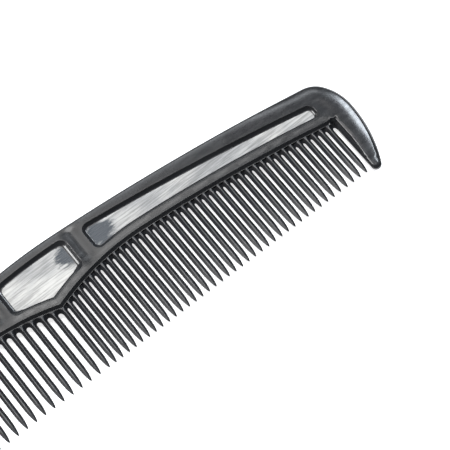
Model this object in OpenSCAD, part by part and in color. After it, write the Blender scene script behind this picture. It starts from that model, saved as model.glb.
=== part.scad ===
// Dressing comb: close teeth on one half, wide teeth on the other, lying flat on its spine.
// X runs along the comb with the close teeth at +X, +Y points to the back, Z is the thickness.
// The origin is the middle of the underside. Plan sizes are counted from the line of tooth tips.

/* [Overall] */
// Length over both end guards
comb_l = 190; // [160:1:230]
// Height of the back above the tooth tips, at the middle
back_h = 40.5; // [38:0.5:50]
// Thickness of the spine and of the guards at their roots
spine_t = 4.5; // [3.6:0.1:6]
// Depth of the rounding on the edges, measured through the thickness
edge_drop = 0.8; // [0.3:0.05:0.85]
// Width of the same rounding, measured in plan
edge_inset = 0.6; // [0.2:0.05:0.7]

/* [Back] */
// Half width of the tighter curve at the middle of the back
crown_half = 10; // [6:0.5:14]
// Radius of that curve
crown_r = 150; // [120:5:200]
// Radius of the long curve from there to each end
back_r = 700; // [600:10:1000]
// Radius where the back turns down into the end
shoulder_r = 7.5; // [5:0.5:8.5]
// Radius of the upper part of the rounded end
haunch_r = 16; // [14:0.5:20]
// Level of the widest point of the end, below the back
haunch_drop = 13.5; // [12:0.5:14]

/* [Lower edge of the spine] */
// Distance from the middle to the highest point of the lower edge
root_peak_x = 24.5; // [20:0.5:30]
// Height of that point, which is the longest reach of the teeth
root_peak_y = 26.5; // [24:0.5:28]
// Radius of the lower edge from its corner at the middle to past its highest point
root_inner_r = 73; // [68:1:100]
// Radius of the lower edge from there to the guard
root_outer_r = 470; // [400:10:700]
// Angle past the highest point at which the two radii join
root_join_deg = 4.7; // [3:0.1:6]

/* [Recesses] */
// Depth of each recess, the same on both faces
recess_d = 1; // [0.4:0.1:1.4]
// Half width of the middle recess
middle_half = 11.5; // [9:0.1:13]
// Width of the land between the middle recess and a long one
land_w = 5.3; // [4:0.1:8]
// Rim left between a recess and the lower edge of the spine
lower_rim = 1.8; // [1.6:0.1:3]
// Rim left between a recess and the back, towards the middle
upper_rim = 3.1; // [2:0.1:4]
// The same rim at the far end of a long recess
upper_rim_end = 6; // [4:0.1:6.5]
// Rim left between a long recess and the end of the comb
end_rim = 8.9; // [8:0.1:12]
// Corner radius of the recesses
recess_r = 1.7; // [0.8:0.1:1.9]

/* [Teeth] */
// Pitch of the close teeth
fine_pitch = 2.2; // [2:0.05:2.8]
// Width of one close tooth
fine_w = 1.6; // [1:0.05:1.7]
// Pitch of the wide teeth
wide_pitch = 2.95; // [2.6:0.05:4]
// Width of one wide tooth
wide_w = 1.6; // [1:0.05:2]
// Thickness of a tooth at its root and of the web that it grows from
tooth_t = 2.6; // [2:0.1:2.8]
// Thickness of a tooth at its tip
tip_t = 1.3; // [1:0.1:1.8]
// Width of the flat ridge along a tooth
ridge_w = 0.5; // [0.3:0.05:0.8]
// Height of the flat on the side of a tooth, at mid thickness
side_flat = 0.4; // [0.2:0.05:0.8]
// Length over which a tooth narrows to its tip
tip_l = 6; // [4:0.5:8]
// Width left at the very tip
tip_w = 0.5; // [0.3:0.05:0.7]
// Height of the web between the teeth, below the spine
web_h = 2; // [1.2:0.1:3]
// Least gap between the last tooth and the guard
guard_gap = 0.75; // [0.6:0.05:1.5]

/* [Guards] */
// Width of an end guard where it leaves the spine
guard_w = 7.4; // [6:0.1:8.5]
// Distance that a guard reaches past the tooth tips
guard_drop = 1.1; // [0.5:0.1:2]
// Radius of a guard's tip, in plan
guard_tip_r = 1.5; // [0.8:0.05:1.7]
// Thickness of a guard at its tip
guard_tip_t = 2.6; // [2:0.1:3.6]
// Length of a guard's thinned end
guard_thin_l = 12; // [8:0.5:14]

/* [Hidden] */

BLACK = "#2c2d30";
GLOSS = "#55575b";
TOOTH = "#1d1f22";

// Numbers of straight steps along the curves
BACK_STEPS = 18;
ARC_STEPS = 6;
TIP_STEPS = 5;
// How sharply the narrowing of a tooth gathers towards its tip
TIP_POWER = 3;
// Reach of a cutting block, beyond anything that it cuts
FAR = 400;

half_l = comb_l / 2;
guard_x = half_l - guard_w;
panel_t = spine_t - 2 * recess_d;
tip_y = guard_tip_r - guard_drop;
// Middle of the plan, which is where the origin lies
mid_y = (back_h - guard_drop) / 2;

fine_count = floor((guard_x - guard_gap - fine_w / 2) / fine_pitch);
wide_count = floor((guard_x - guard_gap - wide_w / 2) / wide_pitch);

// Height of a circle's upper side at x, for a circle of radius r about c
function arc_y(c, r, x) = c[1] + sqrt(r * r - (x - c[0]) * (x - c[0]));
// Unit step that leans by an angle from +Y towards +X
function lean(angle) = [sin(angle), cos(angle)];
// Right-hand meeting point of two circles
function meet(a, ra, b, rb) =
    let (d = norm(b - a), along = (ra * ra - rb * rb + d * d) / (2 * d),
         u = (b - a) / d, side = sqrt(ra * ra - along * along),
         p = a + along * u + side * [u[1], -u[0]], q = a + along * u - side * [u[1], -u[0]])
    p[0] > q[0] ? p : q;
// Direction from one point to another, in degrees
function heading(a, b) = atan2(b[1] - a[1], b[0] - a[0]);
function arc(c, r, from, to, n) =
    [for (i = [0:n]) let (a = from + (to - from) * i / n) c + r * [cos(a), sin(a)]];
function reversed(v) = [for (i = [len(v) - 1:-1:0]) v[i]];
function mirrored(v) = [for (p = v) [-p[0], p[1]]];

// Back: a tight curve at the middle, then a long one on each side that runs on from it
crown_c = [0, back_h - crown_r];
crown_turn = asin(crown_half / crown_r);
back_c = crown_c - (back_r - crown_r) * lean(crown_turn);
function back_y(x) = abs(x) < crown_half ? arc_y(crown_c, crown_r, x) : arc_y(back_c, back_r, abs(x));

// Lower edge of the spine, the same on both halves
inner_c = [root_peak_x, root_peak_y - root_inner_r];
outer_c = inner_c - (root_outer_r - root_inner_r) * lean(root_join_deg);
root_join_x = inner_c[0] + root_inner_r * sin(root_join_deg);
function root_y(x) = abs(x) < root_join_x ? arc_y(inner_c, root_inner_r, abs(x))
                                          : arc_y(outer_c, root_outer_r, abs(x));
// Places along the lower edge: the middle, each gap between two teeth, and the guard
function gap_xs(pitch, count) = concat([0], [for (i = [0:count - 1]) (i + 0.5) * pitch], [guard_x]);
fine_xs = gap_xs(fine_pitch, fine_count);
wide_xs = gap_xs(wide_pitch, wide_count);
function web_edge(xs) = [for (x = xs) [x, root_y(x) - web_h]];

// Rounded end: haunch, shoulder, guard side and guard tip are arcs that run into each other
haunch_c = [half_l - haunch_r, back_y(half_l - haunch_r) - haunch_drop];
shoulder_c = meet(haunch_c, haunch_r - shoulder_r, back_c, back_r - shoulder_r);
tip_c = [guard_x + guard_tip_r, tip_y];
guard_in = guard_w - guard_tip_r;
guard_fall = haunch_c[1] - tip_c[1];
guard_r = (guard_in * guard_in + guard_fall * guard_fall - guard_tip_r * guard_tip_r)
          / (2 * (guard_in - guard_tip_r));
guard_c = [half_l - guard_r, haunch_c[1]];
back_end_x = back_c[0] + back_r * cos(heading(back_c, shoulder_c));
function end_points() = concat(
    arc(shoulder_c, shoulder_r, heading(back_c, shoulder_c), heading(haunch_c, shoulder_c), ARC_STEPS),
    arc(haunch_c, haunch_r, heading(haunch_c, shoulder_c), 0, ARC_STEPS),
    [for (i = [1:ARC_STEPS - 1]) guard_c + guard_r * (let (a = heading(guard_c, tip_c) * i / ARC_STEPS)
                                                      [cos(a), sin(a)])],
    arc(tip_c, guard_tip_r, heading(guard_c, tip_c), -180, ARC_STEPS));
function without_doubles(v) = [for (i = [0:len(v) - 1]) if (i == 0 || norm(v[i] - v[i - 1]) > 0.001) v[i]];
function inner_points(v) = [for (i = [1:len(v) - 2]) v[i]];
// The end's points above and below the level at which the guard meets the spine
split_y = root_y(guard_x) - web_h;
split_x = guard_c[0] + sqrt(guard_r * guard_r - pow(guard_c[1] - split_y, 2));
end_above = [for (p = end_points()) if (p[1] > split_y + 0.1) p];
end_below = [for (p = end_points()) if (p[1] < split_y - 0.1) p];
// One half of the spine, clockwise from the middle of the back to the corner below it
function half_spine(xs) = without_doubles(concat(
    [for (i = [0:BACK_STEPS - 1]) let (x = back_end_x * i / BACK_STEPS) [x, back_y(x)]],
    end_above, [[split_x, split_y], [guard_x, split_y]],
    [for (x = reversed(xs)) [x, root_y(x)]]));
spine_outline = reversed(concat(half_spine(fine_xs), reversed(inner_points(mirrored(half_spine(wide_xs))))));
guard_outline = reversed(without_doubles(concat([[split_x, split_y]], end_below, [[guard_x, split_y]])));

// Anticlockwise outline moved inwards by e, apart from its edges along the split, which stay
function edge_normal(a, b) = let (d = (b - a) / norm(b - a)) [-d[1], d[0]];
function edge_move(a, b, e) = norm([a[1] - split_y, b[1] - split_y]) < 0.001 ? 0 : e;
function corner_move(n1, e1, n2, e2) = let (c = n1 * n2)
    e1 == e2 ? e1 * (n1 + n2) / (1 + c) : (e1 * (n1 - c * n2) + e2 * (n2 - c * n1)) / (1 - c * c);
function inset(v, e) = let (n = len(v))
    [for (i = [0:n - 1]) let (before = v[(i + n - 1) % n], after = v[(i + 1) % n])
        v[i] + corner_move(edge_normal(before, v[i]), edge_move(before, v[i], e),
                           edge_normal(v[i], after), edge_move(v[i], after, e))];
// Steps of the edge rounding, from a face inwards. As shares of the rounding's size: how far in
// the edge stands, how deep the step starts and how thick it is.
EDGE = [[0.6, 0, 1 / 3], [0.2, 1 / 3, 2 / 3]];
// Layers of a plate: how far in the edge stands, where the layer starts and how thick it is
LAYERS = concat(
    [for (s = EDGE) [s[0] * edge_inset, s[1] * edge_drop, s[2] * edge_drop]],
    [[0, edge_drop, spine_t - 2 * edge_drop]],
    [for (s = EDGE) [s[0] * edge_inset, spine_t - (s[1] + s[2]) * edge_drop, s[2] * edge_drop]]);

// Full-thickness plate with stepped edges. Its children are cut out of every layer.
module plate(outline) for (l = LAYERS) translate([0, 0, l[1]]) linear_extrude(l[2]) difference() {
    polygon(inset(outline, l[0]));
    children();
}
module plan() translate([0, -mid_y, 0]) children();
// Slab of thickness t about the middle of the spine's thickness
module slab(t) translate([0, 0, (spine_t - t) / 2]) linear_extrude(t) children();

module rounded(r) offset(r = r) offset(delta = -r) children();
long_x0 = middle_half + land_w;
long_x1 = half_l - end_rim;
function long_upper(x) = back_y(x) - upper_rim
    - (upper_rim_end - upper_rim) * (x - long_x0) / (long_x1 - long_x0);
long_xs = [for (i = [0:BACK_STEPS]) long_x0 + (long_x1 - long_x0) * i / BACK_STEPS];
module long_recess() rounded(recess_r) polygon(concat(
    [for (x = long_xs) [x, root_y(x) + lower_rim]],
    [for (x = reversed(long_xs)) [x, long_upper(x)]]));
middle_xs = [for (i = [-ARC_STEPS:ARC_STEPS]) middle_half * i / ARC_STEPS];
module middle_recess() rounded(recess_r) polygon(concat(
    [for (x = middle_xs) [x, root_y(x) + lower_rim]],
    [for (x = reversed(middle_xs)) [x, back_y(x) - upper_rim]]));

module spine_frame() color(BLACK) plan() plate(spine_outline) {
    middle_recess();
    long_recess();
    mirror([1, 0]) long_recess();
}
module fine_side_panel() color(GLOSS) plan() slab(panel_t) long_recess();
module middle_panel() color(GLOSS) plan() slab(panel_t) middle_recess();
module wide_side_panel() color(GLOSS) plan() slab(panel_t) mirror([1, 0]) long_recess();

module root_web(xs) slab(tooth_t)
    polygon(concat([for (x = xs) [x, root_y(x)]], reversed(web_edge(xs))));
module fine_root_web() color(BLACK) plan() root_web(fine_xs);
module wide_root_web() color(BLACK) plan() mirror([1, 0, 0]) root_web(wide_xs);

// Half width of a tooth at a distance d above its tip
function tooth_half(w, d) = (tip_w + (w - tip_w) * (1 - pow(1 - min(d, tip_l) / tip_l, TIP_POWER))) / 2;
// One tooth at x: what its plan, its cross-section and its side view have in common.
// Its root ends on the web's edge to the left and to the right of its middle.
module tooth(x, w, left_y, right_y) {
    steps = [for (i = [0:TIP_STEPS]) tip_l * pow(i / TIP_STEPS, 2)];
    top_y = max(left_y, right_y);
    middle = spine_t / 2;
    intersection() {
        linear_extrude(spine_t) polygon(concat(
            [for (d = steps) [x + tooth_half(w, d), d]],
            [[x + w / 2, right_y], [x - w / 2, left_y]],
            [for (d = reversed(steps)) [x - tooth_half(w, d), d]]));
        translate([x, top_y + 1, middle]) rotate([90, 0, 0]) linear_extrude(top_y + 2) polygon([
            [w / 2, -side_flat / 2], [w / 2, side_flat / 2], [ridge_w / 2, tooth_t / 2],
            [-ridge_w / 2, tooth_t / 2], [-w / 2, side_flat / 2], [-w / 2, -side_flat / 2],
            [-ridge_w / 2, -tooth_t / 2], [ridge_w / 2, -tooth_t / 2]]);
        translate([x - w, 0, middle]) rotate([90, 0, 90]) linear_extrude(2 * w) polygon([
            [0, -tip_t / 2], [top_y, -tooth_t / 2], [top_y, tooth_t / 2], [0, tip_t / 2]]);
    }
}
module row(pitch, count, w, xs) {
    edge = web_edge(xs);
    for (i = [1:count]) tooth(i * pitch, w, lookup(i * pitch - w / 2, edge), lookup(i * pitch + w / 2, edge));
}
module fine_teeth() color(TOOTH) plan() row(fine_pitch, fine_count, fine_w, fine_xs);
module wide_teeth() color(TOOTH) plan() mirror([1, 0, 0]) row(wide_pitch, wide_count, wide_w, wide_xs);
module centre_tooth() color(TOOTH) plan() {
    root = root_y(0) - web_h;
    tooth(0, fine_w, root, root);
}

// The guard keeps the spine's thickness at its root and thins towards its tip on both faces
module guard() intersection() {
    plate(guard_outline);
    translate([0, 0, spine_t / 2]) rotate([90, 0, 90]) linear_extrude(FAR) polygon([
        [-FAR, -guard_tip_t / 2], [-guard_drop, -guard_tip_t / 2], [guard_thin_l, -spine_t / 2],
        [FAR, -spine_t / 2], [FAR, spine_t / 2], [guard_thin_l, spine_t / 2],
        [-guard_drop, guard_tip_t / 2], [-FAR, guard_tip_t / 2]]);
}
module fine_end_guard() color(BLACK) plan() guard();
module wide_end_guard() color(BLACK) plan() mirror([1, 0, 0]) guard();

spine_frame();
fine_side_panel();
middle_panel();
wide_side_panel();
fine_root_web();
wide_root_web();
centre_tooth();
fine_teeth();
wide_teeth();
fine_end_guard();
wide_end_guard();
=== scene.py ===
import math

import bpy
import numpy as np
from mathutils import Matrix, Vector
from mathutils.geometry import delaunay_2d_cdt


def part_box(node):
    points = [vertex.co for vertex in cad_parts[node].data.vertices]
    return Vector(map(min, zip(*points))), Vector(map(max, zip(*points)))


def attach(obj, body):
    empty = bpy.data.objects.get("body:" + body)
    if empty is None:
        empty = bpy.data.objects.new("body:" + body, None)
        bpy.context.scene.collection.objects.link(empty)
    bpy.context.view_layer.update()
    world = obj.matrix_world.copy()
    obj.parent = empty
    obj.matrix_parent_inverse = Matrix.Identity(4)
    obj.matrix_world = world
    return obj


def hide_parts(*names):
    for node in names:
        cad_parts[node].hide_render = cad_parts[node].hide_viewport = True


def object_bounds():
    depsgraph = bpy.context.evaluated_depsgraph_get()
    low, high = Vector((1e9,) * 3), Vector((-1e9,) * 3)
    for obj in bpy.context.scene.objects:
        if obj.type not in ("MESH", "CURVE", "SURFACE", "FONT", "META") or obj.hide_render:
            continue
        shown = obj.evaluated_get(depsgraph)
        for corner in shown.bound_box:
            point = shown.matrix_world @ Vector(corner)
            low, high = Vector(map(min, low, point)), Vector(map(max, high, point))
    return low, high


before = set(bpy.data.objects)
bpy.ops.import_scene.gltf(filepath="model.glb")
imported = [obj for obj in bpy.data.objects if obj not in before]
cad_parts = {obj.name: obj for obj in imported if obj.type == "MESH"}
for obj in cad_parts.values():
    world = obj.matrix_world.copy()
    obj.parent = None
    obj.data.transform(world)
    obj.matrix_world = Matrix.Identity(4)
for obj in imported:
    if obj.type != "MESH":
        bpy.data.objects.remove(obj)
cad_low, cad_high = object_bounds()

# ---------------------------------------------------------------- sizes, in millimetres
# Plan sizes count from the line of tooth tips, heights from the middle of the thickness.
MM = 0.001


def extent(node, axis):
    low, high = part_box(node)
    return low[axis] / MM, high[axis] / MM


X, Y, Z = range(3)
TIP_LINE = extent("centre_tooth", Y)[0]
MIDDLE_Z = (cad_low.z + cad_high.z) / MM / 2
HALF_L = cad_high.x / MM
HALF_T = (cad_high.z - cad_low.z) / MM / 2
GUARD_DROP = TIP_LINE - cad_low.y / MM
BACK_H = cad_high.y / MM - TIP_LINE
GUARD_X = extent("fine_end_guard", X)[0]
SPLIT_Y = extent("fine_end_guard", Y)[1] - TIP_LINE
WEB_HALF_T = np.ptp(extent("fine_root_web", Z)) / 2
PANEL_HALF_T = np.ptp(extent("middle_panel", Z)) / 2
LONG_X0, LONG_X1 = extent("fine_side_panel", X)
MIDDLE_HALF = extent("middle_panel", X)[1]

# The curves of the moulding, as radii and reaches
CROWN_HALF, CROWN_R, BACK_R = 10.0, 150.0, 700.0
SHOULDER_R, HAUNCH_R, HAUNCH_DROP = 7.5, 16.0, 13.5
ROOT_PEAK_X, ROOT_PEAK_Y = 24.5, 26.5
ROOT_INNER_R, ROOT_OUTER_R, ROOT_JOIN = 73.0, 470.0, math.radians(4.7)
LOWER_RIM, UPPER_RIM, UPPER_RIM_END = 1.8, 3.1, 6.0
GUARD_TIP_R, GUARD_TIP_HALF_T, GUARD_THIN_L = 1.5, 1.3, 12.0

# Edges: the back's rounding, the guard's inner wall, the step down to the teeth, the recess walls
EDGE_R, EDGE_FOOT = 1.1, 0.35
CROWN_W, GUARD_CROWN, BACK_CROWN = 5.6, 0.75, 0.34
WALL_FOOT, WALL_SLOPE = 0.4, 1.6
STEP_FOOT, STEP_W = 1.15, 1.15
WALL_BLEND = 0.22
RECESS_WALL, RECESS_LIP, WALL_STRAIGHT = 1.2, 0.2, 0.42
FLOOR_IN = RECESS_WALL - RECESS_LIP
LONG_CORNERS, MIDDLE_CORNERS = (2.0, 1.7, 2.2, 2.0), (1.9, 1.9, 2.4, 2.4)

# The middle recess's end walls run out wider than the rest, by this share from this x on
END_WALL_SHARE, END_WALL_X, END_WALL_RUN = 0.28, 7.5, 2.5

# Shallow dips of the surface, each with its depth and its reach
LAND_X = (MIDDLE_HALF + LONG_X0) / 2
LAND_DIP, LAND_REACH = 0.38, 1.9
LIP_DIP, LIP_REACH = 0.12, 1.4
CORNER_DIP, CORNER_REACH_X, CORNER_REACH_Y = 0.10, 1.6, 3.5

# Teeth: the flat edge of their section, the ridge, the tips, and the arch between two roots
FLAT_SIDE, FLAT_SIDE_FADE = 0.15, 0.35
RIDGE_W, FLANK_BLEND = 0.14, 0.26
TIP_L, TIP_POWER, TIP_ROUND = 6.0, 2.2, 0.62
ARCH_TOP, ARCH_H = 2.0, 0.85
ROOT_CUT = ARCH_TOP + ARCH_H

# Distances between the points of the plan mesh, and its rows along edges, roots and recess walls
GRID_STEP, GRID_CLEAR = 0.9, 0.5
SAME_D = 0.02
ON_LINE = 1e-3
EDGE_ROWS = (0.012, 0.05, 0.11, 0.19, 0.29, 0.4, 0.52, 0.65, 0.8, EDGE_R, 1.3, 1.8, 2.6, 3.6, 4.6)
INNER_ROWS = (0.4, 0.8, 0.9, 1.0, 1.1, 1.25)
WALL_ROWS = (-0.4, -0.2, -0.15, -0.1, -0.05, 0, 0.06, 0.15, 0.26, 0.4, 0.54, 0.68, 0.8, 0.9, FLOOR_IN,
             1.2, 1.4, 1.55, 1.8)


# ---------------------------------------------------------------- plan curves
def lean(angle):
    """Unit vector at an angle from +Y towards +X."""
    return np.array([math.sin(angle), math.cos(angle)])


def upper_side(centre, r, x):
    """Height at x of a circle's upper side."""
    return centre[1] + np.sqrt(r * r - (x - centre[0]) ** 2)


crown_c = np.array([0.0, BACK_H - CROWN_R])
back_c = crown_c - (BACK_R - CROWN_R) * lean(math.asin(CROWN_HALF / CROWN_R))
inner_c = np.array([ROOT_PEAK_X, ROOT_PEAK_Y - ROOT_INNER_R])
outer_c = inner_c - (ROOT_OUTER_R - ROOT_INNER_R) * lean(ROOT_JOIN)
root_join_x = ROOT_PEAK_X + ROOT_INNER_R * math.sin(ROOT_JOIN)


def back_y(x):
    """Height of the back over the tooth tips."""
    x = np.abs(x)
    crown = upper_side(crown_c, CROWN_R, np.minimum(x, CROWN_HALF))
    return np.where(x < CROWN_HALF, crown, upper_side(back_c, BACK_R, x))


def root_y(x):
    """Height of the spine's lower side, where the teeth begin, over their tips."""
    x = np.abs(x)
    inner = upper_side(inner_c, ROOT_INNER_R, np.minimum(x, root_join_x))
    return np.where(x < root_join_x, inner, upper_side(outer_c, ROOT_OUTER_R, x))


def meet(a, ra, b, rb):
    """Right-hand meeting point of two circles."""
    d = np.linalg.norm(b - a)
    along = (ra * ra - rb * rb + d * d) / (2 * d)
    u = (b - a) / d
    side = math.sqrt(ra * ra - along * along) * np.array([u[1], -u[0]])
    return max(a + along * u + side, a + along * u - side, key=lambda p: p[0])


def heading(a, b):
    """Angle of the direction from a to b."""
    return math.atan2(b[1] - a[1], b[0] - a[0])


def arc(centre, r, start, end, step):
    """Points along an arc, about a step apart."""
    n = max(3, int(abs(end - start) * r / step))
    a = np.linspace(start, end, n + 1)
    return centre + r * np.stack([np.cos(a), np.sin(a)], 1)


def chain(*runs):
    """Runs of points joined into one, without doubled points."""
    p = np.concatenate([np.asarray(r, float) for r in runs])
    keep = np.append(True, np.linalg.norm(np.diff(p, axis=0), axis=1) > 1e-4)
    return p[keep]


def mirrored(p):
    """Plan points on the other side of the comb's middle."""
    return p * np.array([-1.0, 1.0])


def end_path():
    """The outer side of one end, from the back to the guard's tip."""
    haunch = np.array([HALF_L - HAUNCH_R, back_y(HALF_L - HAUNCH_R) - HAUNCH_DROP])
    shoulder = meet(haunch, HAUNCH_R - SHOULDER_R, back_c, BACK_R - SHOULDER_R)
    tip = np.array([GUARD_X + GUARD_TIP_R, GUARD_TIP_R - GUARD_DROP])
    inside = HALF_L - GUARD_X - GUARD_TIP_R
    fall = haunch[1] - tip[1]
    r = (inside ** 2 + fall ** 2 - GUARD_TIP_R ** 2) / (2 * (inside - GUARD_TIP_R))
    guard = np.array([HALF_L - r, haunch[1]])
    back_end = heading(back_c, shoulder)
    back_x = np.linspace(0, back_c[0] + BACK_R * math.cos(back_end), 130)
    outer = chain(
        np.stack([back_x, back_y(back_x)], 1),
        arc(shoulder, SHOULDER_R, back_end, heading(haunch, shoulder), 0.5),
        arc(haunch, HAUNCH_R, heading(haunch, shoulder), 0, 0.6),
        arc(guard, r, 0, heading(guard, tip), 0.6),
        arc(tip, GUARD_TIP_R, heading(guard, tip), math.radians(-100), 0.12))
    inner = chain(
        arc(tip, GUARD_TIP_R, math.radians(-100), -math.pi, 0.12),
        [[GUARD_X, y] for y in np.arange(tip[1], SPLIT_Y + ARCH_TOP - STEP_FOOT, 0.6)],
        [[GUARD_X, root_y(GUARD_X) - STEP_FOOT]])
    return outer, inner


outer_path, inner_path = end_path()
root_x = np.linspace(GUARD_X, 0, 190)


def root_path(level):
    """The line of the roots, raised by level."""
    return np.stack([root_x, root_y(root_x) + level], 1)


def rounded(runs, radii, step=0.35 * 0.6):
    """Closed outline through runs that meet at corners, each corner rounded by its radius.
    Each run is an open row of points from one corner to the next."""
    out = []
    n = len(runs)
    for i, run in enumerate(runs):
        after = runs[(i + 1) % n]
        keep = np.ones(len(run), bool)
        for end, r in ((0, radii[i]), (-1, radii[(i + 1) % n])):
            keep &= np.linalg.norm(run - run[end], axis=1) > r * 1.1
        out.append(run[keep])
        corner, r = run[-1], radii[(i + 1) % n]
        u = run[-4] - corner
        v = after[3] - corner
        u, v = u / np.linalg.norm(u), v / np.linalg.norm(v)
        half = math.acos(np.clip(u @ v, -1, 1)) / 2
        centre = corner + (u + v) / np.linalg.norm(u + v) * r / math.sin(half)
        a = heading(centre, corner + u * r / math.tan(half))
        b = heading(centre, corner + v * r / math.tan(half))
        turn = (b - a + math.pi) % (2 * math.pi) - math.pi
        out.append(arc(centre, r, a, a + turn, step))
    return chain(*out)


def line(a, b, n=12):
    """Points on the straight line from a to b."""
    return np.linspace(np.asarray(a, float), np.asarray(b, float), n)


def long_upper(x):
    """Height of a long recess's upper side."""
    share = (x - LONG_X0) / (LONG_X1 - LONG_X0)
    return back_y(x) - UPPER_RIM - (UPPER_RIM_END - UPPER_RIM) * share


def long_outline():
    """Outline of the long recess over the close teeth."""
    x = np.linspace(LONG_X0, LONG_X1, 160)
    low = np.stack([x, root_y(x) + LOWER_RIM], 1)
    top = np.stack([x[::-1], long_upper(x[::-1])], 1)
    return rounded([low, line(low[-1], top[0]), top, line(top[-1], low[0])], LONG_CORNERS)


def middle_outline():
    """Outline of the middle recess."""
    x = np.linspace(0, MIDDLE_HALF, 40)
    low = np.stack([x, root_y(x) + LOWER_RIM], 1)
    top = np.stack([x[::-1], back_y(x[::-1]) - UPPER_RIM], 1)
    left_low, left_top = mirrored(low[::-1]), mirrored(top[::-1])
    low, top = chain(left_low, low), chain(top, left_top)
    return rounded([low, line(low[-1], top[0]), top, line(top[-1], low[0])], MIDDLE_CORNERS)


long_recess = long_outline()
middle_recess = middle_outline()


# ---------------------------------------------------------------- distances in plan
def path_distance(points, path, closed=False, block=4000):
    """Distance from each point to a row of points joined by straight lines."""
    a = path
    b = np.roll(path, -1, 0) if closed else path[1:]
    a = a if closed else path[:-1]
    best = np.empty(len(points))
    for start in range(0, len(points), block):
        p = points[start:start + block, None, :]
        ab = (b - a)[None]
        t = np.clip(((p - a) * ab).sum(2) / (ab * ab).sum(2), 0, 1)
        d = np.linalg.norm(p - (a + t[..., None] * ab), axis=2)
        best[start:start + block] = d.min(1)
    return best


def inside(points, outline):
    """Whether each point lies in a closed outline."""
    x, y = points[:, 0:1], points[:, 1:2]
    x0, y0 = outline[:, 0], outline[:, 1]
    x1, y1 = np.roll(x0, -1), np.roll(y0, -1)
    with np.errstate(divide="ignore", invalid="ignore"):
        cross = x0 + (y - y0) / (y1 - y0) * (x1 - x0)
    hits = ((y0 > y) != (y1 > y)) & (x < cross)
    return hits.sum(1) % 2 == 1


def signed(points, outline):
    """Depth of each point inside a closed outline, negative outside it."""
    d = path_distance(points, outline, closed=True)
    return np.where(inside(points, outline), d, -d)


def smooth(t):
    """A soft step from 0 to 1."""
    t = np.clip(t, 0, 1)
    return t * t * (3 - 2 * t)


def soft_min(a, b, k):
    """The lower of a and b, blended where they are within k of each other."""
    h = np.clip(0.5 + (b - a) / (2 * k), 0, 1)
    return b + (a - b) * h - k * h * (1 - h)


def soft_top(t, blend=FLANK_BLEND):
    """t up to 1, where it bends over and stays level."""
    bend = t - (t - (1 - blend)) ** 2 / (4 * blend)
    return np.where(t < 1 - blend, t, np.where(t > 1 + blend, 1.0, bend))


# ---------------------------------------------------------------- the spine's surface
def plate_top(p):
    """Level of the spine and guard before their edges are cut: thinner towards the guard's tip,
    with shallow dips on the lands, along the roots and beside the outer end of a long recess."""
    x, y = np.abs(p[:, 0]), p[:, 1]
    thin = HALF_T - GUARD_TIP_HALF_T
    top = HALF_T - thin * (1 - smooth((y + GUARD_DROP) / (GUARD_THIN_L + GUARD_DROP)))
    band = smooth((y - root_y(x) + 0.8) / 4.5) * smooth((back_y(x) - y - 0.8) / 2)
    top = top - LAND_DIP * np.exp(-((x - LAND_X - 0.1) / LAND_REACH) ** 2) * band
    lip = np.exp(-((y - root_y(x) + 0.2) / LIP_REACH) ** 2) * smooth((GUARD_X + 1 - x) / 3)
    corner_x, corner_y = (x - LONG_X1 - 2.2) / CORNER_REACH_X, (y - root_y(x) - 4.5) / CORNER_REACH_Y
    return top - LIP_DIP * lip - CORNER_DIP * np.exp(-corner_x ** 2 - corner_y ** 2)


def recess_depth(p):
    """How far inside a recess's outline each point is, less where its wall runs out wider."""
    p = np.stack([np.abs(p[:, 0]), p[:, 1]], 1)
    wide_wall = 1 - END_WALL_SHARE * smooth((p[:, 0] - END_WALL_X) / END_WALL_RUN)
    return np.maximum(signed(p, long_recess), signed(p, middle_recess) * wide_wall)


def floor_level(p):
    """Level of a recess floor: nearly flat, with the faint waves of a moulded panel."""
    x, y = np.abs(p[:, 0]), p[:, 1]
    return (PANEL_HALF_T + 0.012 * np.sin(x * 0.35 + 0.6) + 0.008 * np.sin(x * 0.9 + y * 0.7)
            - 0.05 * np.exp(-((x - LONG_X0 - 2.0) / 2.2) ** 2))


def spine_level(p):
    """Half thickness of the spine and guards at each plan point."""
    q = np.stack([np.abs(p[:, 0]), p[:, 1]], 1)
    top = plate_top(q)
    d = path_distance(q, outer_path)
    crown = BACK_CROWN + (GUARD_CROWN - BACK_CROWN) * smooth((q[:, 0] - 66) / 20)
    body = top - crown * top / HALF_T * np.maximum(0, 1 - d / CROWN_W) ** 3
    roll = np.sqrt(1 - (1 - np.minimum(d / EDGE_R, 1)) ** 2)
    level = EDGE_FOOT + (body - EDGE_FOOT) * roll
    wall = WALL_FOOT + WALL_SLOPE * path_distance(q, inner_path)
    level = soft_min(level, wall, WALL_BLEND)
    above = np.maximum(q[:, 1] - root_y(q[:, 0]), q[:, 0] - GUARD_X)
    step = WEB_HALF_T + (HALF_T - WEB_HALF_T) * smooth((above + STEP_FOOT) / STEP_W)
    step = np.where(above > STEP_W - STEP_FOOT, HALF_T, step)
    level = np.minimum(level, step)
    depth = np.clip(recess_depth(q) + RECESS_LIP, 0, RECESS_WALL)
    t = depth / RECESS_WALL
    run = 2 / (1 + WALL_STRAIGHT)
    foot = run * (1 - t) ** 2 / (2 * (1 - WALL_STRAIGHT))
    share = np.where(t < WALL_STRAIGHT, run * t, 1 - foot) * smooth(depth / RECESS_LIP)
    return level * (1 - share) + floor_level(q) * share


def level_normals(level, p, eps=0.02):
    """Surface normals of a level over plan points, from its slopes."""
    dx, dy = np.array([eps, 0.0]), np.array([0.0, eps])
    sx = (level(p + dx) - level(p - dx)) / (2 * eps)
    sy = (level(p + dy) - level(p - dy)) / (2 * eps)
    n = np.stack([-sx, -sy, np.ones(len(p))], 1)
    return n / np.linalg.norm(n, axis=1)[:, None]


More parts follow.
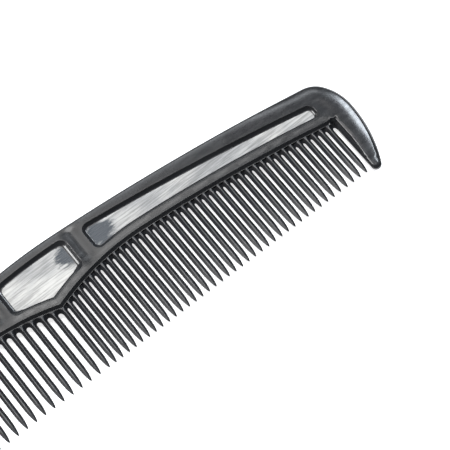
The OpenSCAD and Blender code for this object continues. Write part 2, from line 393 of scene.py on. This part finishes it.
def moved_in(path, d):
    """A path moved to its right-hand side by d."""
    t = np.gradient(path, axis=0)
    t = t / np.linalg.norm(t, axis=1)[:, None]
    return path + d * np.stack([t[:, 1], -t[:, 0]], 1)


class Plan:
    """Points and lines in plan that a triangulation keeps."""

    def __init__(self):
        self.points, self.lines, self.count = [], [], 0

    def add(self, run, keep=None):
        """Adds a run of points. keep says which of them stay; lines join neighbours that stay."""
        keep = np.ones(len(run), bool) if keep is None else keep
        number = self.count + np.cumsum(keep) - 1
        for i in range(len(run) - 1):
            if keep[i] and keep[i + 1]:
                self.lines.append((int(number[i]), int(number[i + 1])))
        self.points.append(run[keep])
        self.count += int(keep.sum())

    def triangles(self):
        p = np.concatenate(self.points)
        got = delaunay_2d_cdt([Vector(v) for v in p], self.lines, [], 0, 2e-3, False)
        return np.array([v[:] for v in got[0]]), np.array([f for f in got[2] if len(f) == 3])


def half_plate():
    """Plan mesh of the spine, guard and recess floors of the +X half: points and triangles."""
    low = root_path(-STEP_FOOT)
    domain = chain(outer_path, inner_path, low)
    plan = Plan()
    plan.add(np.concatenate([domain, domain[:1]]))

    def in_domain(p):
        return inside(p, domain)

    for d in EDGE_ROWS:
        run = moved_in(np.concatenate([mirrored(outer_path[1:2]), outer_path]), d)[1:]
        run[0, 0] = 0
        true = np.abs(path_distance(run, outer_path) - d) < SAME_D
        within = in_domain(run) | (run[:, 0] == 0)
        plan.add(run, true & within & ((d < 0.7) | (run[:, 1] > 2)))
    for d in INNER_ROWS:
        run = moved_in(inner_path, d)
        plan.add(run, in_domain(run) & (np.abs(path_distance(run, inner_path) - d) < SAME_D))
    for level in np.arange(-STEP_FOOT + 0.1, STEP_W - STEP_FOOT + 0.11, 0.1):
        run = root_path(level)
        run = np.concatenate([[[GUARD_X + 0.9, root_y(GUARD_X + 0.9) + level]], run])
        plan.add(run, in_domain(run) | (run[:, 0] == 0))
    for outline in (long_recess, middle_recess):
        for s in WALL_ROWS:
            run = moved_in(np.concatenate([outline, outline[:2]]), -s)
            plan.add(run, run[:, 0] >= -0.2)
    cut = line([GUARD_X, SPLIT_Y], [HALF_L, SPLIT_Y], 20)
    plan.add(cut, in_domain(cut) | (cut[:, 0] == GUARD_X))
    lines = np.concatenate(plan.points)
    across, up = np.arange(GRID_STEP / 2, HALF_L, GRID_STEP), np.arange(-1, BACK_H, GRID_STEP)
    grid = np.stack(np.meshgrid(across, up), -1).reshape(-1, 2)
    grid = grid[in_domain(grid)]
    clear = np.array([np.abs(lines - g).sum(1).min() > GRID_CLEAR for g in grid])
    plan.add(grid[clear], None)
    plan.lines = [l for l in plan.lines if l[1] < len(lines)]
    points, faces = plan.triangles()
    centre = points[faces].mean(1)
    faces = faces[inside(centre, domain)]
    return points, faces


# ---------------------------------------------------------------- closed solids from sheets
def boundary(faces):
    """Edges with a face on one side only, in that face's direction."""
    seen = {}
    for f in faces:
        for a, b in zip(f, np.roll(f, -1)):
            seen[(int(a), int(b))] = (int(b), int(a))
    return [e for e, back in seen.items() if back not in seen]


def turned_up(points, faces):
    """Faces turned so that they run anticlockwise seen from above."""
    a, b, c = (points[faces[:, i]] for i in range(3))
    area = (b[:, 0] - a[:, 0]) * (c[:, 1] - a[:, 1]) - (b[:, 1] - a[:, 1]) * (c[:, 0] - a[:, 0])
    faces = faces.copy()
    faces[area < 0] = faces[area < 0][:, ::-1]
    return faces


def welded(points, faces):
    """Joins points that coincide in plan. Returns which points stay, and the faces."""
    _, first, back = np.unique(np.round(points, 4), axis=0, return_index=True, return_inverse=True)
    return first, back.reshape(-1)[faces]


def both_halves(points, faces, *values):
    """A right-hand half and its mirror image, joined on the middle line."""
    n = len(points)
    points = np.where(np.abs(points) < ON_LINE, 0, points)
    faces = faces[points[faces, 0].max(1) > 0]
    points = np.concatenate([points, mirrored(points)])
    faces = np.concatenate([faces, faces[:, ::-1] + n])
    values = [np.concatenate([v, v * np.array([-1, 1, 1]) if v.ndim == 2 else v]) for v in values]
    first, faces = welded(points, faces)
    faces = faces[[len(set(f)) == 3 for f in faces.tolist()]]
    return (points[first], faces, *[v[first] for v in values])


def flipped(points, faces, *values):
    """A sheet's mirror image on the other side of the comb's middle."""
    values = [v * np.array([-1, 1, 1]) if v.ndim == 2 else v for v in values]
    return (mirrored(points), faces[:, ::-1], *values)


def put(name, parts, material, nodes):
    """One object of closed solids. Each part is a sheet in plan: points, faces, half thickness and
    normals. Its underside is its mirror image, and walls close the two along the sheet's rim."""
    verts, polys, corners = [], [], []
    for points, faces, level, normals in parts:
        start = sum(len(v) for v in verts)
        n = len(points)
        rows = points[:, 1] + TIP_LINE
        verts.append(np.stack([points[:, 0], rows, MIDDLE_Z + level], 1))
        verts.append(np.stack([points[:, 0], rows, MIDDLE_Z - level], 1))
        under = normals * np.array([1, 1, -1])
        for f in faces:
            polys.append([int(i) + start for i in f])
            corners.extend(normals[f])
            polys.append([int(i) + n + start for i in f[::-1]])
            corners.extend(under[f[::-1]])
        for a, b in boundary(faces):
            along = points[b] - points[a]
            out = np.array([along[1], -along[0], 0]) / np.linalg.norm(along)
            polys.append([a + n + start, b + n + start, b + start, a + start])
            corners.extend([out] * 4)
    mesh = bpy.data.meshes.new(name)
    mesh.from_pydata((np.concatenate(verts) * MM).tolist(), [], polys)
    mesh.polygons.foreach_set("use_smooth", [True] * len(polys))
    mesh.normals_split_custom_set(np.array(corners).tolist())
    mesh.update()
    mesh.materials.append(material)
    obj = bpy.data.objects.new(name, mesh)
    bpy.context.scene.collection.objects.link(obj)
    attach(obj, "root")
    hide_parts(*nodes)


# ---------------------------------------------------------------- materials
def nodes_of(name):
    """A new material with its node tree and its shader."""
    material = bpy.data.materials.new(name)
    material.use_nodes = True
    tree = material.node_tree
    shader = tree.nodes["Principled BSDF"]
    return material, tree, shader


def noise(tree, stretch, scale, detail=4.0, rough=0.55, turn=0.0):
    """Noise over the object's own space, stretched along its axes. Scale counts per metre."""
    coords = tree.nodes.new("ShaderNodeTexCoord")
    mapping = tree.nodes.new("ShaderNodeMapping")
    mapping.inputs["Scale"].default_value = stretch
    mapping.inputs["Rotation"].default_value = (0, 0, turn)
    texture = tree.nodes.new("ShaderNodeTexNoise")
    texture.inputs["Scale"].default_value = scale
    texture.inputs["Detail"].default_value = detail
    texture.inputs["Roughness"].default_value = rough
    tree.links.new(coords.outputs["Object"], mapping.inputs["Vector"])
    tree.links.new(mapping.outputs["Vector"], texture.inputs["Vector"])
    return texture.outputs["Fac"]


def ramp(tree, value, stops):
    """Colours, or greys, by the height of a value."""
    node = tree.nodes.new("ShaderNodeValToRGB")
    node.color_ramp.elements.remove(node.color_ramp.elements[1])
    for i, (place, colour) in enumerate(stops):
        stop = node.color_ramp.elements[0] if i == 0 else node.color_ramp.elements.new(place)
        stop.position = place
        stop.color = (*colour, 1) if isinstance(colour, tuple) else (colour, colour, colour, 1)
    tree.links.new(value, node.inputs["Fac"])
    return node.outputs["Color"]


def patches(tree, spots):
    """Soft patches with streaky borders: each is a place and a size, in millimetres."""
    coords = tree.nodes.new("ShaderNodeTexCoord")
    streak = noise(tree, (0.25, 1, 1), 900, 5, 0.7)
    shift = tree.nodes.new("ShaderNodeMath")
    shift.operation = "MULTIPLY_ADD"
    shift.inputs[1].default_value = 0.012
    shift.inputs[2].default_value = -0.006
    tree.links.new(streak, shift.inputs[0])
    combine = tree.nodes.new("ShaderNodeCombineXYZ")
    tree.links.new(shift.outputs[0], combine.inputs["X"])
    add = tree.nodes.new("ShaderNodeVectorMath")
    tree.links.new(coords.outputs["Object"], add.inputs[0])
    tree.links.new(combine.outputs["Vector"], add.inputs[1])
    last = None
    for x, y, size in spots:
        mapping = tree.nodes.new("ShaderNodeMapping")
        mapping.vector_type = "TEXTURE"
        mapping.inputs["Location"].default_value = (x * MM, y * MM, MIDDLE_Z * MM)
        mapping.inputs["Scale"].default_value = (size * MM, size * MM, 1)
        ball = tree.nodes.new("ShaderNodeTexGradient")
        ball.gradient_type = "SPHERICAL"
        tree.links.new(add.outputs["Vector"], mapping.inputs["Vector"])
        tree.links.new(mapping.outputs["Vector"], ball.inputs["Vector"])
        if last is None:
            last = ball.outputs["Fac"]
            continue
        both = tree.nodes.new("ShaderNodeMath")
        both.operation = "MAXIMUM"
        tree.links.new(last, both.inputs[0])
        tree.links.new(ball.outputs["Fac"], both.inputs[1])
        last = both.outputs[0]
    return last


def bump(tree, shader, heights, strength, distance):
    """Bumps from several heights, one after another."""
    last = None
    for height in heights:
        node = tree.nodes.new("ShaderNodeBump")
        node.inputs["Strength"].default_value = strength
        node.inputs["Distance"].default_value = distance
        tree.links.new(height, node.inputs["Height"])
        if last is not None:
            tree.links.new(last, node.inputs["Normal"])
        last = node.outputs["Normal"]
    tree.links.new(last, shader.inputs["Normal"])


def satin_plastic():
    """Rim and guards: moulded black with a fine grain and a little rubbing."""
    material, tree, shader = nodes_of("satin_black_plastic")
    shader.inputs["IOR"].default_value = 1.5
    grain = noise(tree, (1, 1, 1), 2600, 3)
    rubbed = noise(tree, (0.25, 1, 1), 900, 5)
    cloud = noise(tree, (1, 1, 1), 60, 3)
    tree.links.new(ramp(tree, cloud, [(0.3, (0.010, 0.0105, 0.012)), (0.7, (0.017, 0.0175, 0.019))]),
                   shader.inputs["Base Color"])
    tree.links.new(ramp(tree, rubbed, [(0.3, 0.17), (0.72, 0.27)]), shader.inputs["Roughness"])
    bump(tree, shader, [grain, rubbed], 0.12, 0.00003)
    return material


def sheen_painted_plastic():
    """Recess floors: a light grey base colour painted in for the bright sheen they reflect (painted
    sheen), streaked by fine scratches along and across them, with dark bluish patches painted where that
    sheen gives way (painted dark reflection).
    """
    material, tree, shader = nodes_of("black_plastic_painted_sheen")
    shader.inputs["IOR"].default_value = 1.5
    along = noise(tree, (0.06, 1, 1), 2400, 6, 0.7, math.radians(8))
    across = noise(tree, (1, 0.12, 1), 1100, 5, 0.65)
    cloud = noise(tree, (0.5, 1, 1), 160, 4)
    fine = noise(tree, (0.05, 1, 1), 2200, 4, 0.65, math.radians(-4))
    # Painted sheen: the light grey base colour stands in for the softbox sheen the floors reflect; the
    # fine streaks multiply into it as scratches.
    painted_sheen = ramp(tree, cloud, [(0.36, (0.29, 0.29, 0.29)), (0.64, (0.47, 0.46, 0.44))])
    sheen_and_scratches = tree.nodes.new("ShaderNodeMixRGB")
    sheen_and_scratches.blend_type = "MULTIPLY"
    sheen_and_scratches.inputs["Fac"].default_value = 1.0
    tree.links.new(painted_sheen, sheen_and_scratches.inputs["Color1"])
    tree.links.new(ramp(tree, fine, [(0.42, 0.62), (0.58, 1.0)]), sheen_and_scratches.inputs["Color2"])
    # Painted dark reflection: bluish dark patches where the floor would turn away from the light, mixed
    # over the painted sheen.
    painted_dark_reflection = patches(tree, [(20.0, 12.5, 5.5), (10.5, 12.8, 5.0), (-19.0, 10.0, 6.0), (-54.0, 9.0, 8.0)])
    mix = tree.nodes.new("ShaderNodeMixRGB")
    mix.inputs["Color2"].default_value = (0.022, 0.030, 0.040, 1)
    tree.links.new(ramp(tree, painted_dark_reflection, [(0.1, 0.0), (0.45, 1.0)]), mix.inputs["Fac"])
    tree.links.new(sheen_and_scratches.outputs["Color"], mix.inputs["Color1"])
    tree.links.new(mix.outputs["Color"], shader.inputs["Base Color"])
    tree.links.new(ramp(tree, along, [(0.3, 0.2), (0.7, 0.36)]), shader.inputs["Roughness"])
    bump(tree, shader, [along, across], 0.3, 0.00003)
    return material


def tooth_plastic():
    """Teeth and their web: smooth semi-gloss black."""
    material, tree, shader = nodes_of("tooth_black_plastic")
    shader.inputs["IOR"].default_value = 1.5
    drawn = noise(tree, (1, 0.08, 1), 2600, 4)
    cloud = noise(tree, (1, 1, 1), 240, 3)
    tree.links.new(ramp(tree, cloud, [(0.3, (0.005, 0.0055, 0.007)), (0.7, (0.009, 0.0095, 0.012))]),
                   shader.inputs["Base Color"])
    tree.links.new(ramp(tree, drawn, [(0.3, 0.36), (0.7, 0.44)]), shader.inputs["Roughness"])
    bump(tree, shader, [drawn], 0.08, 0.00002)
    return material


def floor_paint():
    """The pale floor, which gives off some light of its own."""
    material, tree, shader = nodes_of("pale_floor")
    tint = ramp(tree, noise(tree, (1, 1, 1), 3, 2), [(0.3, (0.88, 0.88, 0.88)), (0.7, (0.9, 0.9, 0.9))])
    tree.links.new(tint, shader.inputs["Base Color"])
    shader.inputs["Roughness"].default_value = 0.6
    shader.inputs["Emission Color"].default_value = (1, 1, 1, 1)
    shader.inputs["Emission Strength"].default_value = 0.75
    return material


satin, sheen_painted_finish, tooth_finish = satin_plastic(), sheen_painted_plastic(), tooth_plastic()


# ---------------------------------------------------------------- spine, guards and recess floors
def plate_normals(points):
    """Normals of the spine's surface. On its outermost line they are taken just inside it."""
    edge = np.concatenate([outer_path, inner_path])
    inward = np.concatenate([moved_in(outer_path, 1) - outer_path, moved_in(inner_path, 1) - inner_path])
    shifted = points.copy()
    near = np.minimum(path_distance(points, outer_path), path_distance(points, inner_path)) < 0.03
    nearest = np.array([np.abs(edge - p).sum(1).argmin() for p in points[near]], int)
    shifted[near] += inward[nearest] * 0.045
    return level_normals(spine_level, shifted)


def spine_parts():
    """The spine, a guard, a long panel and the middle panel, as sheets."""
    points, faces = half_plate()
    faces = turned_up(points, faces)
    level, normals = spine_level(points), plate_normals(points)
    centre = points[faces].mean(1)
    in_floor = recess_depth(centre) > FLOOR_IN
    in_middle = in_floor & (centre[:, 0] < LAND_X)
    in_guard = (centre[:, 1] < SPLIT_Y) & (centre[:, 0] > GUARD_X)

    def pick(mask):
        used, back = np.unique(faces[mask], return_inverse=True)
        return points[used], back.reshape(-1, 3), level[used], normals[used]

    spine = both_halves(*pick(~in_floor & ~in_guard))
    middle = both_halves(*pick(in_middle))
    return spine, pick(in_guard), pick(in_floor & ~in_middle), middle


spine_sheet, guard_sheet, panel_sheet, middle_sheet = spine_parts()
put("spine_frame_moulding", [spine_sheet], satin, ["spine_frame"])
put("fine_end_guard_moulding", [guard_sheet], satin, ["fine_end_guard"])
put("wide_end_guard_moulding", [flipped(*guard_sheet)], satin, ["wide_end_guard"])
put("fine_side_panel_floor", [panel_sheet], sheen_painted_finish, ["fine_side_panel"])
put("wide_side_panel_floor", [flipped(*panel_sheet)], sheen_painted_finish, ["wide_side_panel"])
put("middle_panel_floor", [middle_sheet], sheen_painted_finish, ["middle_panel"])


# ---------------------------------------------------------------- teeth and root webs
ACROSS = np.array([0, 0.08, 0.2, 0.34, 0.46, 0.56, 0.64, 0.72, 0.82, 1.0])
CELL_ROWS = np.array([0, 0.1, 0.2, 0.3, 0.38, 0.44, 0.5, 0.57])
TOOTH_APART, NEAR_TOOTH = 0.7, 1.0


def tooth_boxes(node):
    """Middle of each tooth of a CAD node, and the width of the first, from the solids in it."""
    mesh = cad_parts[node].data
    spots = np.array([v.co[:] for v in mesh.vertices]) / MM
    low = spots[spots[:, 1] < TIP_LINE + 0.01]
    xs = np.sort(low[:, 0])
    groups = np.split(xs, np.where(np.diff(xs) > TOOTH_APART)[0] + 1)
    middles = np.array([g.mean() for g in groups])
    first = spots[np.abs(spots[:, 0] - middles[0]) < NEAR_TOOTH]
    return middles, np.ptp(first[:, 0])


def flank_level(g, half_t, width, side=FLAT_SIDE):
    """Half thickness at a distance g inside a tooth's outline."""
    return side + (half_t - side) * soft_top(g / ((width - RIDGE_W) / 2))


def tooth_sheet(middle, width):
    """One tooth from its root to its rounded tip."""
    root = float(root_y(middle)) - ROOT_CUT

    def half_width(y):
        d = np.clip(y / TIP_L, 0, 1)
        return width / 2 * (1 - (1 - d) ** TIP_POWER) ** TIP_ROUND

    def half_thick(y):
        return GUARD_TIP_HALF_T / 2 + (WEB_HALF_T - GUARD_TIP_HALF_T / 2) * np.clip(y / root, 0, 1)

    def tooth_level(p):
        half = half_width(p[:, 1])
        side = FLAT_SIDE * np.minimum(1, half / FLAT_SIDE_FADE)
        return flank_level(half - np.abs(p[:, 0] - middle), half_thick(p[:, 1]), width, side)

    rows = np.concatenate([TIP_L * np.linspace(0.05, 1, 12) ** 2, np.linspace(TIP_L + 1.5, root, 7)])
    across = np.concatenate([-ACROSS[::-1], ACROSS[1:]])
    points = []
    for y in rows:
        x = middle + across * half_width(y)
        drop = (root_y(x) - root_y(middle)) * smooth((y - root + 1.5) / 1.5)
        points.append(np.stack([x, y + drop], 1))
    points = np.concatenate(points)
    n = len(across)
    faces = [[k * n + i, k * n + i + 1, (k + 1) * n + i + 1, (k + 1) * n + i]
             for k in range(len(rows) - 1) for i in range(n - 1)]
    return points, np.array(faces), tooth_level(points), level_normals(tooth_level, points, 0.01)


def arch_cell(gap_x, half_gap, side, reach, width):
    """Half of the web round the top of one gap, from the arch to the middle of a tooth."""
    squash = half_gap / ARCH_H
    foot = -ROOT_CUT
    rise = ROOT_CUT - STEP_FOOT
    targets = [(reach, rise * t) for t in (0, 0.12, 0.26, 0.42, 0.6, 0.8)]
    targets += [(reach * t, rise) for t in (1, 0.75, 0.5, 0.25, 0)]
    points = []
    for dx, dy in targets:
        end = np.array([dx, dy * squash])
        far = np.linalg.norm(end)
        steps = CELL_ROWS * min(1, (far - half_gap) / 0.6)
        rho = np.append(half_gap + steps, far)
        ray = rho[:, None] * end / far
        x = gap_x + side * ray[:, 0]
        points.append(np.stack([x, root_y(x) + foot + ray[:, 1] / squash], 1))
    m = len(points[0])
    points = np.concatenate(points)
    faces = np.array([[k * m + i, k * m + i + 1, (k + 1) * m + i + 1, (k + 1) * m + i]
                      for k in range(len(targets) - 1) for i in range(m - 1)])

    def cell_level(p):
        dx = p[:, 0] - gap_x
        dy = np.maximum(0, p[:, 1] - root_y(p[:, 0]) - foot) * squash
        return flank_level(np.hypot(dx, dy) - half_gap, WEB_HALF_T, width)

    if side < 0:
        faces = faces[:, ::-1]
    return points, faces, cell_level(points), level_normals(cell_level, points, 0.01)


def web_sheet(middles, width):
    """The web over one row of teeth, on the +X side."""
    cells = []
    teeth = np.concatenate([[0.0], middles])
    for a, b in zip(teeth[:-1], teeth[1:]):
        gap_x, half_gap = (a + b) / 2, (b - a - width) / 2
        cells.append(arch_cell(gap_x, half_gap, -1, gap_x - a, width))
        cells.append(arch_cell(gap_x, half_gap, 1, b - gap_x, width))
    edge = teeth[-1] + width / 2
    sliver = 0.05
    half_gap = (GUARD_X - edge) / 2 - sliver
    gap_x = edge + half_gap
    cells.append(arch_cell(gap_x, half_gap, -1, gap_x - teeth[-1], width))
    cells.append(arch_cell(gap_x, half_gap, 1, GUARD_X - gap_x, width))
    start, faces = 0, []
    for points, cell_faces, _, _ in cells:
        faces.append(cell_faces + start)
        start += len(points)
    points, level, normals = (np.concatenate([c[i] for c in cells]) for i in (0, 2, 3))
    first, faces = welded(points, np.concatenate(faces))
    return points[first], faces, level[first], normals[first]


fine_x, fine_w = tooth_boxes("fine_teeth")
wide_x, wide_w = tooth_boxes("wide_teeth")
wide_x = np.sort(-wide_x)
put("fine_teeth_row", [tooth_sheet(x, fine_w) for x in fine_x], tooth_finish, ["fine_teeth"])
put("wide_teeth_row", [flipped(*tooth_sheet(x, wide_w)) for x in wide_x], tooth_finish,
    ["wide_teeth"])
put("centre_tooth_moulding", [tooth_sheet(0.0, fine_w)], tooth_finish, ["centre_tooth"])
put("fine_root_web_moulding", [web_sheet(fine_x, fine_w)], tooth_finish, ["fine_root_web"])
put("wide_root_web_moulding", [flipped(*web_sheet(wide_x, wide_w))], tooth_finish,
    ["wide_root_web"])


# ---------------------------------------------------------------- floor, light and camera
AIM = Vector((HALF_L * MM / 2, -0.0071, MIDDLE_Z * MM))
LIGHT_DISTANCE = 1.2


def direction(azimuth, elevation):
    """Unit vector to a place round the object: azimuth 0 is in front, at -Y, and 90 at +X."""
    a, e = math.radians(azimuth), math.radians(elevation)
    return Vector((math.sin(a) * math.cos(e), -math.cos(a) * math.cos(e), math.sin(e)))


def make_floor():
    """A wide flat floor at the comb's underside."""
    size, cells = 3.0, 12
    line_at = np.linspace(-size, size, cells + 1)
    verts = [(x, y, cad_low.z) for y in line_at for x in line_at]
    n = cells + 1
    faces = [(j * n + i, j * n + i + 1, (j + 1) * n + i + 1, (j + 1) * n + i)
             for j in range(cells) for i in range(cells)]
    mesh = bpy.data.meshes.new("floor")
    mesh.from_pydata(verts, [], faces)
    mesh.materials.append(floor_paint())
    obj = bpy.data.objects.new("floor", mesh)
    bpy.context.scene.collection.objects.link(obj)


def softbox(name, azimuth, elevation, size, power, colour=(1, 1, 1)):
    """A square or oblong light that faces the comb."""
    light = bpy.data.lights.new(name, "AREA")
    light.shape = "RECTANGLE"
    light.size, light.size_y = size
    light.energy = power
    light.color = colour
    obj = bpy.data.objects.new(name, light)
    back = direction(azimuth, elevation)
    obj.location = AIM + back * LIGHT_DISTANCE
    obj.rotation_mode = "QUATERNION"
    obj.rotation_quaternion = (-back).to_track_quat("-Z", "Y")
    bpy.context.scene.collection.objects.link(obj)


def make_camera(azimuth, elevation, roll, distance, lens):
    """A camera that looks at AIM, rolled about its line of sight."""
    data = bpy.data.cameras.new("camera")
    data.sensor_width = 36.0
    data.lens = lens
    data.clip_start, data.clip_end = 0.01, 20
    obj = bpy.data.objects.new("camera", data)
    back = direction(azimuth, elevation)
    right = Vector((0, 0, 1)).cross(back).normalized()
    up = back.cross(right)
    turn = Matrix((right, up, back)).transposed()
    turn = turn @ Matrix.Rotation(math.radians(roll), 3, "Z")
    obj.matrix_world = Matrix.Translation(AIM + back * distance) @ turn.to_4x4()
    bpy.context.scene.collection.objects.link(obj)
    bpy.context.scene.camera = obj


make_floor()
make_camera(azimuth=-20.86, elevation=65.48, roll=-17.87, distance=0.6632, lens=200.0)
softbox("top_light", 190, 67, (0.5, 0.5), 2.2, (1.0, 0.98, 0.95))
softbox("overhead_light", 170, 82, (0.5, 0.35), 4.2)
softbox("right_light", 113, 49, (0.5, 0.26), 12.0, (0.86, 0.93, 1.0))
softbox("back_light", 166, 48, (0.65, 0.16), 2.2, (0.92, 0.96, 1.0))
softbox("left_light", 241, 38, (0.45, 0.55), 15.0)
world = bpy.data.worlds.new("studio")
world.use_nodes = True
sky = world.node_tree.nodes["Background"]
sky.inputs["Color"].default_value = (0.9, 0.95, 1.0, 1)
sky.inputs["Strength"].default_value = 0.12
bpy.context.scene.world = world
bpy.context.scene.view_settings.view_transform = "Standard"
